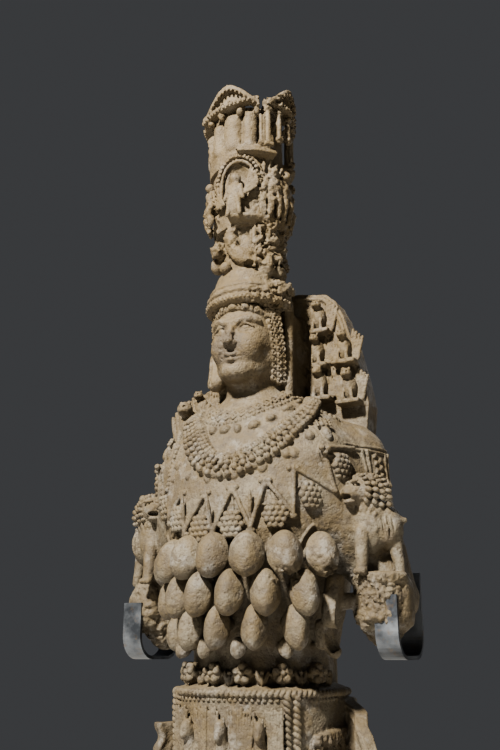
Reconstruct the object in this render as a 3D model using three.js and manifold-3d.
// A colossal marble goddess of the Ephesian cult type on a low base, in millimetres.
// She faces -Y, her left is +X and +Z is up. The origin is the middle of the base's underside.
import * as THREE from "three";
import { mergeVertices } from "three/addons/utils/BufferGeometryUtils.js";
import Module from "manifold-3d";

const wasm = await Module();
wasm.setup();

const GAP = 0.3;
const PLINTH_WIDTH = 660;
const PLINTH_DEPTH = 560;
const PLINTH_HEIGHT = 120;
const FIGURE_TOP = 2920;

// Body sections from the hem up: height, half width, depth in front, depth behind, squareness.
const BODY = [
  [PLINTH_HEIGHT + GAP, 196, 176, 158, 2.3],
  [200, 182, 166, 150, 2.3],
  [262, 158, 156, 142, 2.5],
  [760, 168, 166, 145, 2.6],
  [1404, 184, 180, 150, 2.6],
  [1436, 186, 184, 150, 2.5],
  [1450, 160, 154, 146, 2.2],
  [1490, 166, 164, 146, 2.1],
  [1560, 180, 184, 146, 2.1],
  [1650, 210, 208, 150, 2.1],
  [1750, 226, 212, 160, 2.1],
  [1830, 234, 204, 166, 2.1],
  [1900, 240, 188, 172, 2.1],
  [1960, 236, 168, 174, 2.1],
  [2020, 198, 142, 164, 2.1],
  [2084, 104, 104, 120, 2.0],
  [2130, 70, 96, 54, 2.0],
];

// Rows of breasts: height, distance from the axis, half width, half depth, half height, angles in degrees.
const BREAST_ROWS = [
  { z: 1692, out: 236, size: [39, 40, 50], angles: [0, 19, 37.5, 56] },
  { z: 1614, out: 233, size: [33, 38, 50], angles: [9.5, 28, 47] },
  { z: 1546, out: 212, size: [30, 36, 48], angles: [0, 22, 44, 66] },
  { z: 1490, out: 192, size: [18, 22, 26], angles: [12.5, 36, 60] },
];
// How much further out a breast stands for each degree that it is from the front.
const BREAST_SPREAD = 0.35;
const GRAPE_ANGLES = [9.5, 28, 47, 65];
const TONGUE_ANGLES = [-37.5, -19, 0, 19, 37.5, 56];
const ROSETTE_ANGLES = [12, 37, 62, 86];
const SKIRT_TOP = 1404;
const SKIRT_BOTTOM = 262;
const PANEL_ROWS = 5;
const CORNER_ANGLE = 44;
const ROPE_OUT = 9;
const CLOAK_REACH = 190;
// Angles of the skin's upright lines from the front, on one side; a rope stands on the corner one.
const SKIN_ANGLES = [0, 13, 27, 39, CORNER_ANGLE, 49, 64, 82, 102, 126, 154, 180];

const CROWN_Y = -70;
const CROWN_BOTTOM = 2392;
const TIERS = [CROWN_BOTTOM, 2540, 2706, 2832];
const GABLE_DROP_PER_DEGREE = 1.15;
const ARM_X = 312;

// The nimbus in front view, from her left shoulder over the top to the break on her right.
const NIMBUS_OUTLINE = [
  [250, 2000], [259, 2070], [248, 2134], [229, 2214], [202, 2308], [182, 2350], [156, 2376], [80, 2392],
  [-10, 2398], [-64, 2330], [-84, 2240], [-96, 2168], [-180, 2164], [-227, 2153], [-258, 2122], [-266, 2070],
  [-250, 2000],
];
const NIMBUS_BEASTS = [[142, 2310], [134, 2220], [207, 2219], [140, 2133], [218, 2115], [-202, 2118], [-130, 2124]];
const NIMBUS_LEDGES = [[140, 2280, 56], [171, 2188, 126], [177, 2090, 128], [-170, 2090, 132]];

// The steel cradles: a flat bar up the broken face, back under the forearm and up behind the sleeve.
const STRAP_X = 320;
const STRAP_WIDTH = 50;
const STRAP_THICK = 8;
const STRAP_FRONT = -70;
const STRAP_BACK = 106;
const STRAP_FLOOR = 1482;
const STRAP_FRONT_TOP = 1612;
const STRAP_BACK_TOP = 1668;
const STRAP_BEND = 52;
const BOLT_RADIUS = 10;
const BOLT_HEAD = 7;

const rad = THREE.MathUtils.degToRad;

// A closed geometry as a manifold solid.
function solid(geometry) {
  const g = geometry.index ? geometry.toNonIndexed() : geometry.clone();
  g.deleteAttribute("normal");
  g.deleteAttribute("uv");
  const merged = mergeVertices(g, 1e-3);
  return new wasm.Manifold(
    new wasm.Mesh({
      numProp: 3,
      vertProperties: merged.attributes.position.array,
      triVerts: new Uint32Array(merged.index.array),
    }),
  );
}

// Many solids as one, without the small hollows and crumbs that a join can close in.
function joined(solids) {
  const bodies = wasm.Manifold.union(solids).decompose();
  return bodies.sort((a, b) => b.volume() - a.volume())[0];
}

function geometryOf(manifold) {
  const mesh = manifold.getMesh();
  const g = new THREE.BufferGeometry();
  g.setAttribute("position", new THREE.BufferAttribute(new Float32Array(mesh.vertProperties), 3));
  g.setIndex(new THREE.BufferAttribute(new Uint32Array(mesh.triVerts), 1));
  g.computeVertexNormals();
  return g;
}

// Turns are about X, then Y, then Z, in degrees.
function placed(geometry, at, turn = [0, 0, 0]) {
  const q = new THREE.Quaternion().setFromEuler(new THREE.Euler(...turn.map(rad), "ZYX"));
  return geometry.applyQuaternion(q).translate(...at);
}

function ball(at, size, turn, across = 6, up = 4) {
  const g = new THREE.SphereGeometry(1, across, up).rotateX(Math.PI / 2).scale(...size);
  return solid(placed(g, at, turn));
}

function block(at, size, turn) {
  return solid(placed(new THREE.BoxGeometry(...size), at, turn));
}

// A rod from one point to another, with its own radius at each end.
function rod(from, to, r0, r1 = r0, sides = 5) {
  const a = new THREE.Vector3(...from);
  const b = new THREE.Vector3(...to);
  const d = b.clone().sub(a);
  const g = new THREE.CylinderGeometry(r1, r0, d.length(), sides);
  const q = new THREE.Quaternion().setFromUnitVectors(new THREE.Vector3(0, 1, 0), d.clone().normalize());
  g.applyQuaternion(q);
  const mid = a.add(b).multiplyScalar(0.5);
  return solid(g.translate(mid.x, mid.y, mid.z));
}

// Where the body's surface stands at an angle from the front, at one height.
function bodyAt(angle, z) {
  let i = 0;
  while (i < BODY.length - 2 && z > BODY[i + 1][0]) i += 1;
  const [z0, ...low] = BODY[i];
  const [z1, ...high] = BODY[i + 1];
  const t = THREE.MathUtils.clamp((z - z0) / (z1 - z0), 0, 1);
  const [half, front, back, n] = low.map((v, k) => v + (high[k] - v) * t);
  const s = Math.sin(rad(angle));
  const c = Math.cos(rad(angle));
  const depth = c > 0 ? front : back;
  const r = (Math.abs(s / half) ** n + Math.abs(c / depth) ** n) ** (-1 / n);
  return [r * s, -r * c, z];
}

function outFrom(angle, r, z, cy = 0) {
  return [r * Math.sin(rad(angle)), cy - r * Math.cos(rad(angle)), z];
}

// The body's sections with the skirt's rope bands between them, as one closed skin.
function bodySkin() {
  const levels = BODY.map((level) => [level[0], 1]).filter(([z]) => z <= SKIRT_BOTTOM || z > SKIRT_TOP);
  for (let row = 0; row <= PANEL_ROWS; row += 1) {
    const z = SKIRT_BOTTOM + (row * (SKIRT_TOP - SKIRT_BOTTOM)) / PANEL_ROWS;
    levels.push([z + 2, 1], [z + 10, 1.05], [z + 18, 1]);
  }
  levels.sort((a, b) => a[0] - b[0]);
  const rows = levels.length - 1;
  const half = SKIN_ANGLES.length - 1;
  const g = new THREE.CylinderGeometry(1, 1, rows, 2 * half, rows).rotateX(Math.PI / 2);
  const p = g.attributes.position;
  for (let i = 0; i < p.count; i += 1) {
    const [z, grow] = levels[Math.round(p.getZ(i) + rows / 2)];
    const rim = Math.hypot(p.getX(i), p.getY(i)) > 0.5;
    const step = Math.round((Math.atan2(p.getX(i), -p.getY(i)) * half) / Math.PI);
    const angle = SKIN_ANGLES[Math.abs(step)] * Math.sign(step);
    const rope = Math.abs(angle) === CORNER_ANGLE && z > SKIRT_BOTTOM && z < SKIRT_TOP + 16 ? ROPE_OUT : 0;
    const [x, y] = rim ? bodyAt(angle, z) : [0, 0];
    const [u, v] = rim ? outFrom(angle, rope, z) : [0, 0];
    p.setXYZ(i, x * grow + u, y * grow + v, z);
  }
  return solid(g);
}

function turned(profile, sides, cx, cy) {
  const points = profile.map(([r, z]) => new THREE.Vector2(r, z));
  const g = new THREE.LatheGeometry(points, sides).rotateX(Math.PI / 2);
  return solid(g.translate(cx, cy, 0));
}

// One breast: an egg whose lower front is drawn down to a blunt point.
function breast(angle, row) {
  const [w, d, h] = row.size;
  const g = new THREE.SphereGeometry(1, 5, 4).rotateX(Math.PI / 2);
  const p = g.attributes.position;
  for (let i = 0; i < p.count; i += 1) {
    const z = p.getZ(i);
    const narrow = z > 0 ? 1 - 0.22 * z * z : 1 - 0.3 * z * z;
    p.setXYZ(i, p.getX(i) * w * narrow, p.getY(i) * d * narrow - (z < 0 ? 8 * z * z : 0), z * h);
  }
  const out = row.out + BREAST_SPREAD * Math.abs(angle);
  return solid(placed(g, outFrom(angle, out, row.z), [-12, 0, angle]));
}

function breasts() {
  const list = [];
  for (const row of BREAST_ROWS) {
    for (const angle of row.angles) {
      list.push(breast(angle, row));
      if (angle > 0) list.push(breast(-angle, row));
    }
  }
  return list;
}

// The belt of rosettes on raised points, over a rope moulding.
function belt() {
  const list = [];
  for (const angle of ROSETTE_ANGLES) {
    for (const side of [angle, -angle]) {
      const point = new THREE.ConeGeometry(30, 66, 4).rotateX(Math.PI / 2).scale(1, 0.5, 1);
      list.push(solid(placed(point, outFrom(side, 170, 1466), [-4, 0, side])));
      const rose = new THREE.CylinderGeometry(22, 24, 14, 5);
      list.push(solid(placed(rose, outFrom(side, 188, 1444), [0, 0, side])));
    }
  }
  return list;
}

// Winged beasts in the skirt's panels: three in front, and one on each side of the top row.
function skirtReliefs() {
  const list = [];
  const tall = (SKIRT_TOP - SKIRT_BOTTOM) / PANEL_ROWS;
  for (let row = 0; row < PANEL_ROWS; row += 1) {
    const z = SKIRT_BOTTOM + tall * (row + 0.5);
    for (const angle of row === PANEL_ROWS - 1 ? [-68, -24, 0, 24, 68] : [-24, 0, 24]) {
      const [x, y] = bodyAt(angle, z);
      list.push(ball([x, y, z], [21, 20, 74], [6, 0, angle], 4, 4));
    }
  }
  return list;
}

// The hem of the dress with its folds, and the feet under it.
function hemAndFeet() {
  const list = [];
  for (let k = -1.5; k <= 1.5; k += 1) {
    const foot = outFrom(k * 42, 178, PLINTH_HEIGHT + GAP);
    list.push(rod(foot, outFrom(k * 36, 142, 262), 30, 12));
  }
  for (const side of [1, -1]) {
    const at = [side * 52, -172, PLINTH_HEIGHT + GAP + 24];
    list.push(ball(at, [36, 76, 32], [0, 0, side * 5], 6, 4));
  }
  return list;
}

// Half of the cloak below the waist, from the middle of the back to the edge beside the skirt.
function cloakSide(side, levels) {
  const outline = [[0, 172], [0, 20], [140, 66], [273, -84], [293, -68], [192, 78], [158, 132], [96, 166]];
  const shape = new THREE.Shape(outline.map(([x, y]) => new THREE.Vector2(x, y)));
  const rows = levels.length - 1;
  const g = new THREE.ExtrudeGeometry(shape, { depth: rows, steps: rows, bevelEnabled: false });
  const p = g.attributes.position;
  for (let i = 0; i < p.count; i += 1) {
    const [z, reach, grow] = levels[Math.round(p.getZ(i))];
    const drawn = p.getX(i) > 250 ? CLOAK_REACH - reach : 0;
    p.setXYZ(i, side * (p.getX(i) * grow - drawn * 0.62), p.getY(i) + drawn * 0.78, z);
  }
  if (side < 0) {
    for (let i = 0; i < p.count; i += 3) {
      const first = [p.getX(i), p.getY(i), p.getZ(i)];
      p.setXYZ(i, p.getX(i + 1), p.getY(i + 1), p.getZ(i + 1));
      p.setXYZ(i + 1, ...first);
    }
  }
  return solid(g);
}

// The cloak's left edge curves up to the waist, and its right edge is broken off level.
function cloak() {
  const foot = PLINTH_HEIGHT + GAP;
  const low = [[foot, 172, 1.14], [300, 166, 1.06], [760, 168, 1]];
  const left = cloakSide(1, [...low, [1290, 190, 1], [1335, 168, 1], [1375, 118, 1], [1404, 50, 1]]);
  const right = cloakSide(-1, [...low, [1344, 156, 1]]);
  const veil = new THREE.Shape();
  for (const [x, z] of [[120, 1330], [118, 1480], [170, 1700], [240, 1940], [222, 2034]]) {
    if (z === 1330) veil.moveTo(x, z);
    else veil.lineTo(x, z);
  }
  for (const [x, z] of [[222, 2034], [240, 1940], [170, 1700], [118, 1480], [120, 1330]]) veil.lineTo(-x, z);
  veil.closePath();
  const slab = new THREE.ExtrudeGeometry(veil, { depth: 70, bevelEnabled: false }).rotateX(Math.PI / 2);
  return [left, right, solid(slab.translate(0, 176, 0))];
}

// Shoulders, sleeves and the broken forearms.
function arms() {
  const list = [];
  for (const side of [1, -1]) {
    const shoulder = [side * 216, 66, 1930];
    const elbow = [side * 292, 34, 1640];
    list.push(ball([side * 214, 72, 1936], [82, 84, 92], [0, 0, 0], 8, 5));
    list.push(rod(shoulder, elbow, 80, 66, 7));
    list.push(rod([side * 292, 60, 1600], [side * ARM_X, -52, 1598], 66, 56, 6));
    list.push(ball([side * 284, 26, 1562], [42, 60, 54], [0, 0, 0]));
    list.push(block([side * 318, 76, 1630], [64, 54, 96], [0, 0, 0]));
  }
  list.push(block([288, -46, 1652], [100, 74, 24], [0, 0, 10]));
  list.push(block([-300, -30, 1652], [72, 60, 24], [0, 0, -10]));
  return list;
}

// A lion climbs each sleeve: mane, muzzle, chest, haunch and two legs down to the ledge.
function lions() {
  const list = [];
  for (const side of [1, -1]) {
    const inward = side > 0 ? -1 : 1;
    list.push(ball([side * 288, -34, 1838], [36, 38, 42], [0, 0, 0]));
    list.push(ball([side * 276 + inward * 12, -62, 1834], [25, 27, 25], [0, 0, 0]));
    list.push(ball([side * 298, -28, 1770], [36, 36, 74], [0, side * -4, 0]));
    list.push(ball([side * 328, -8, 1752], [26, 34, 42], [0, side * 14, 0]));
    list.push(rod([side * 278, -62, 1742], [side * 272, -66, 1652], 15, 12, 5));
    list.push(rod([side * 330, -22, 1734], [side * 342, -26, 1652], 19, 10, 5));
  }
  return list;
}

// Head, neck, rolled hair and the triple headband.
function head() {
  const list = [];
  list.push(ball([0, -72, 2224], [86, 96, 124], [0, 0, 0], 9, 6));
  list.push(ball([0, -98, 2160], [58, 60, 58], [0, 0, 0]));
  list.push(rod([0, -30, 2030], [0, -34, 2180], 76, 72, 7));
  list.push(ball([0, -164, 2212], [13, 13, 30], [-12, 0, 0], 4, 2));
  for (const side of [1, -1]) {
    list.push(ball([side * 82, -62, 2222], [24, 30, 104], [0, 0, 0], 5, 4));
    list.push(ball([side * 84, -56, 2126], [30, 34, 36], [0, 0, 0], 5, 4));
  }
  list.push(block([0, 12, 2200], [206, 112, 250]));
  const band = [[0, 2300], [100, 2308], [109, 2336], [94, 2370], [88, 2404], [0, 2410]];
  list.push(turned(band, 12, 0, -66));
  return list;
}

// The three-storey crown: a broken lowest storey, the winged storey and the temple.
function crown() {
  const list = [];
  const [z0, z1, z2, z3] = TIERS;
  list.push(turned([[0, z0 - 20], [86, z0 - 20], [84, z0 + 24], [82, z1 - 24], [0, z1 - 24]], 10, 14, CROWN_Y));
  list.push(turned([[0, z1 - 30], [96, z1 - 26], [106, z1 - 4], [93, z1 + 6], [104, z2 - 16], [0, z2 - 16]], 12, 3, CROWN_Y));
  list.push(turned([[0, z2 - 20], [106, z2 - 18], [122, z2 - 2], [108, z2 + 16], [112, z3], [0, z3]], 12, 0, CROWN_Y));
  for (let k = 0; k < 4; k += 1) {
    const angle = -78 + k * 30;
    list.push(ball(outFrom(angle, 92, (z2 + z3) / 2, CROWN_Y), [27, 27, 62], [0, 0, angle]));
  }
  for (const angle of [46, 66, 90, 122]) {
    const foot = outFrom(angle, 116, z2 + 2, CROWN_Y);
    list.push(rod(foot, outFrom(angle, 118, z3 + 4, CROWN_Y), 8, 7, 4));
  }
  const cornice = new THREE.CylinderGeometry(1, 1, 2, 16, 2).rotateX(Math.PI / 2);
  const p = cornice.attributes.position;
  for (let i = 0; i < p.count; i += 1) {
    const level = Math.round(p.getZ(i));
    const rim = Math.hypot(p.getX(i), p.getY(i)) > 0.5;
    const angle = THREE.MathUtils.radToDeg(Math.atan2(p.getX(i), -p.getY(i)));
    const top = FIGURE_TOP - GABLE_DROP_PER_DEGREE * Math.min(Math.abs(angle), 86);
    const r = [116, 129, 124][level + 1];
    const z = level < 0 ? top - 42 : level === 0 ? top - 20 : top;
    const at = rim ? outFrom(angle, r, z, CROWN_Y) : [0, CROWN_Y, level < 1 ? z3 - 10 : z3 + 10];
    p.setXYZ(i, ...at);
  }
  list.push(solid(cornice));
  list.push(solid(new THREE.SphereGeometry(30, 6, 5).scale(1, 0.7, 1.3).translate(4, CROWN_Y - 92, z1 + 66)));
  for (let k = 0; k < 4; k += 1) {
    const t0 = (k * Math.PI) / 4;
    const t1 = ((k + 1) * Math.PI) / 4;
    const spot = (t) => outFrom(8 + Math.cos(t) * 27, 103, z1 + 92 + Math.sin(t) * 46, CROWN_Y);
    list.push(rod(spot(t0), spot(t1), 10, 10, 4));
  }
  for (const angle of [-22, 34, 62, 120]) {
    const at = outFrom(angle, 98, z1 + 62, CROWN_Y);
    list.push(ball(at, [14, 20, 58], [0, 0, angle], 4, 4));
  }
  list.push(ball([36, -142, 2446], [36, 24, 32], [0, 30, 0]));
  list.push(ball([92, -74, 2430], [26, 40, 60], [0, 0, 0]));
  list.push(ball([86, -74, 2376], [40, 46, 22], [0, 0, 0]));
  return list;
}

// The nimbus behind the head, with small winged beasts on ledges. On her right it is broken off low down.
function nimbus() {
  const shape = new THREE.Shape(NIMBUS_OUTLINE.map(([x, z]) => new THREE.Vector2(x, z)));
  const slab = new THREE.ExtrudeGeometry(shape, { depth: 66, bevelEnabled: false }).rotateX(Math.PI / 2);
  const list = [solid(slab.translate(0, 122, 0))];
  for (const [x, z] of NIMBUS_BEASTS) list.push(ball([x, 36, z], [17, 34, 26], [0, 0, 0], 4, 4));
  for (const [x, z, width] of NIMBUS_LEDGES) list.push(block([x, 44, z], [width, 44, 12]));
  return list;
}

// The thick wreath of beads that hangs round the neck, and pendants under it.
function garland() {
  const ring = new THREE.TorusGeometry(166, 21, 5, 16).scale(0.93, 1.04, 1);
  const list = [solid(placed(ring, [0, -86, 1978], [38, 0, 0]))];
  for (const angle of GRAPE_ANGLES) {
    for (const side of [angle, -angle]) {
      const [x, y] = bodyAt(side, 1786);
      list.push(ball([x, y, 1786], [24, 18, 24], [0, 0, side], 5, 4));
    }
  }
  for (const angle of TONGUE_ANGLES) {
    const [x, y] = bodyAt(angle, 1820);
    list.push(ball([x, y, 1820], [11, 9, 62], [0, 0, angle], 4, 2));
  }
  return list;
}

// A strap's side view is a U. Grown by a little, the same shape cuts its seat in the marble.
function strap(side, grow) {
  const half = STRAP_THICK / 2 + grow;
  const centre = STRAP_THICK / 2;
  const front = STRAP_FRONT + centre;
  const back = STRAP_BACK - centre;
  const low = STRAP_FLOOR + centre;
  const shape = new THREE.Shape();
  const outer = STRAP_BEND + half;
  const inner = STRAP_BEND - half;
  const bendZ = low + STRAP_BEND;
  shape.moveTo(front - half, STRAP_FRONT_TOP + grow);
  shape.lineTo(front - half, bendZ);
  shape.absarc(front + STRAP_BEND, bendZ, outer, Math.PI, Math.PI * 1.5, false);
  shape.absarc(back - STRAP_BEND, bendZ, outer, Math.PI * 1.5, Math.PI * 2, false);
  shape.lineTo(back + half, STRAP_BACK_TOP + grow);
  shape.lineTo(back - half, STRAP_BACK_TOP + grow);
  shape.lineTo(back - half, bendZ);
  shape.absarc(back - STRAP_BEND, bendZ, inner, Math.PI * 2, Math.PI * 1.5, true);
  shape.absarc(front + STRAP_BEND, bendZ, inner, Math.PI * 1.5, Math.PI, true);
  shape.lineTo(front + half, STRAP_FRONT_TOP + grow);
  shape.closePath();
  const width = STRAP_WIDTH + 2 * grow;
  const g = new THREE.ExtrudeGeometry(shape, { depth: width, bevelEnabled: false, curveSegments: 5 });
  g.translate(0, 0, -width / 2).rotateX(Math.PI / 2).rotateZ(Math.PI / 2);
  const bar = solid(g.translate(side * STRAP_X, 0, 0));
  const bolt = [side * STRAP_X, STRAP_BACK - 2, STRAP_BACK_TOP - 26];
  return bar.add(rod(bolt, [bolt[0], STRAP_BACK + BOLT_HEAD, bolt[2]], BOLT_RADIUS + grow, BOLT_RADIUS + grow, 8));
}

const marble = new THREE.MeshStandardMaterial({ color: 0xc2b59d, roughness: 0.8, metalness: 0 });
const steel = new THREE.MeshStandardMaterial({ color: 0x8a8d90, roughness: 0.45, metalness: 0.9 });

const group = new THREE.Group();

function addNode(name, geometry, material) {
  const mesh = new THREE.Mesh(geometry, material);
  mesh.name = name;
  group.add(mesh);
  return mesh;
}

const figure = joined([
  bodySkin(),
  ...cloak(),
  ...breasts(),
  ...belt(),
  ...skirtReliefs(),
  ...hemAndFeet(),
  ...arms(),
  ...lions(),
  ...head(),
  ...crown(),
  ...nimbus(),
  ...garland(),
]);
const keep = block([0, 0, (PLINTH_HEIGHT + GAP + FIGURE_TOP) / 2], [900, 700, FIGURE_TOP - PLINTH_HEIGHT - GAP]);
const seats = strap(1, GAP).add(strap(-1, GAP));
addNode("statue", geometryOf(joined([figure.intersect(keep).subtract(seats)])), marble);
addNode("arm_strap_left", geometryOf(strap(1, 0)), steel);
addNode("arm_strap_right", geometryOf(strap(-1, 0)), steel);

const base = new THREE.BoxGeometry(PLINTH_WIDTH, PLINTH_DEPTH, PLINTH_HEIGHT);
addNode("plinth", base.translate(0, 0, PLINTH_HEIGHT / 2), marble);

export default group;
